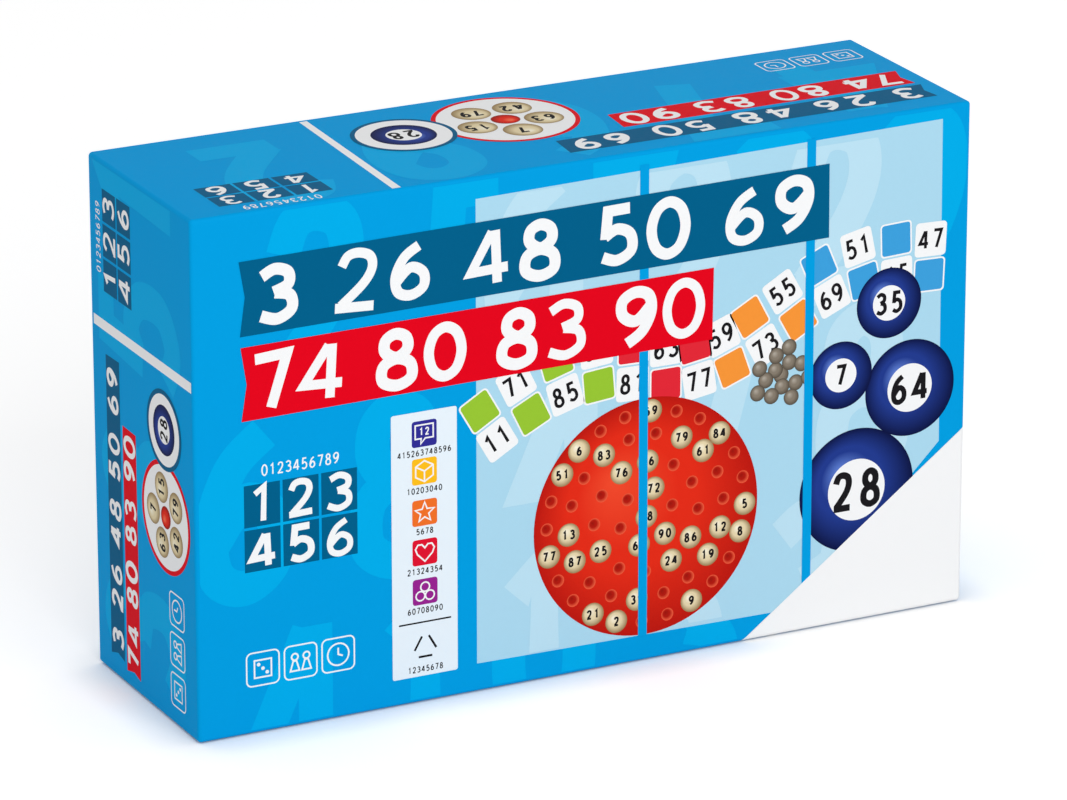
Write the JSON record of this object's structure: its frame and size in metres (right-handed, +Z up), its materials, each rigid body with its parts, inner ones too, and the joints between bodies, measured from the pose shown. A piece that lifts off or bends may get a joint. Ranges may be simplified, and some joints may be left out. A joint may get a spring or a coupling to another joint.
{
  "type": "boxed automatic bingo game",
  "caption": "Boxed bingo game: a lift-off lid and base of card, a moulded tray, a push-up peg dispenser, a number board with plug-in pegs, cards and counters.",
  "frame": {"origin": "middle of the box's underside, as it stands on its long narrow side", "axes": "+X along the box's length, -Y the way the printed front panel faces, +Z up"},
  "size_m": [0.3, 0.085, 0.188],
  "materials": {
    "printed_board": "glossy printed sheet over grey board, mostly bright blue",
    "bare_board": "plain light grey board, matte",
    "tray_plastic": "thin white thermoformed sheet, satin",
    "red_plastic": "glossy moulded red",
    "navy_plastic": "glossy moulded navy blue",
    "royal_plastic": "glossy moulded royal blue",
    "ivory_plastic": "smooth moulded ivory",
    "smoke_plastic": "smoky translucent discs, drawn opaque",
    "white_card": "white printed card, satin",
    "white_paper": "white uncoated paper"
  },
  "bodies": {
    "base": {"box_base": "bare_board", "moulded_tray": "tray_plastic"},
    "lid": {"box_lid": "printed_board"},
    "board": {"number_board": "red_plastic", "board_back_plate": "red_plastic"},
    "called_pegs": {"peg_01": "ivory_plastic", "peg_05": "ivory_plastic", "peg_09": "ivory_plastic", "peg_12": "ivory_plastic", "peg_18": "ivory_plastic", "peg_20": "ivory_plastic", "peg_23": "ivory_plastic", "peg_26": "ivory_plastic", "peg_30": "ivory_plastic", "peg_31": "ivory_plastic", "peg_37": "ivory_plastic", "peg_39": "ivory_plastic", "peg_44": "ivory_plastic", "peg_45": "ivory_plastic", "peg_48": "ivory_plastic", "peg_51": "ivory_plastic", "peg_56": "ivory_plastic", "peg_60": "ivory_plastic", "peg_62": "ivory_plastic", "peg_64": "ivory_plastic", "peg_67": "ivory_plastic", "peg_73": "ivory_plastic", "peg_76": "ivory_plastic", "peg_80": "ivory_plastic", "peg_82": "ivory_plastic", "peg_85": "ivory_plastic", "peg_88": "ivory_plastic", "peg_90": "ivory_plastic"},
    "dispenser": {"dispenser_sleeve": "navy_plastic", "plunger_rod": "royal_plastic"},
    "hopper": {"hopper": "royal_plastic"},
    "cap": {"dispenser_cap": "royal_plastic"},
    "drawn_peg": {"peg_79": "ivory_plastic"},
    "cards": {"card_01": "white_card", "card_02": "white_card", "card_03": "white_card", "card_04": "white_card", "card_05": "white_card", "card_06": "white_card", "card_07": "white_card", "card_08": "white_card", "card_09": "white_card", "card_10": "white_card", "card_11": "white_card", "card_12": "white_card", "rules_sheet": "white_paper"},
    "counters": {"counter_roll_1": "smoke_plastic", "counter_roll_2": "smoke_plastic", "counter_roll_3": "smoke_plastic"}
  },
  "joints": [
    {"name": "lid_lift", "type": "slide", "parent": "base", "child": "lid", "axis": [0, -1, 0], "range_m": [0, 0.2]},
    {"name": "board_lift", "type": "slide", "parent": "base", "child": "board", "axis": [0, -1, 0], "range_m": [0, 0.09]},
    {"name": "peg_pull", "type": "slide", "parent": "board", "child": "called_pegs", "axis": [0, -1, 0], "range_m": [0, 0.0125]},
    {"name": "dispenser_lift", "type": "slide", "parent": "base", "child": "dispenser", "axis": [0, -1, 0], "range_m": [0, 0.09]},
    {"name": "hopper_slide", "type": "slide", "parent": "dispenser", "child": "hopper", "axis": [0, 0, 1], "range_m": [0, 0.0439]},
    {"name": "cap_pull", "type": "slide", "parent": "hopper", "child": "cap", "axis": [0, 0, 1], "range_m": [0, 0.012]},
    {"name": "drawn_peg_lift", "type": "slide", "parent": "dispenser", "child": "drawn_peg", "axis": [0, 0, 1], "range_m": [0, 0.021]},
    {"name": "cards_lift", "type": "slide", "parent": "base", "child": "cards", "axis": [0, -1, 0], "range_m": [0, 0.06]},
    {"name": "counters_lift", "type": "slide", "parent": "base", "child": "counters", "axis": [0, -1, 0], "range_m": [0, 0.08]}
  ],
  "couplings": [
    {"joint": "board_lift", "follows": "lid_lift", "ratio": 0.45},
    {"joint": "peg_pull", "follows": "lid_lift", "ratio": 0.0625},
    {"joint": "dispenser_lift", "follows": "lid_lift", "ratio": 0.45},
    {"joint": "cards_lift", "follows": "lid_lift", "ratio": 0.3},
    {"joint": "counters_lift", "follows": "lid_lift", "ratio": 0.4}
  ]
}
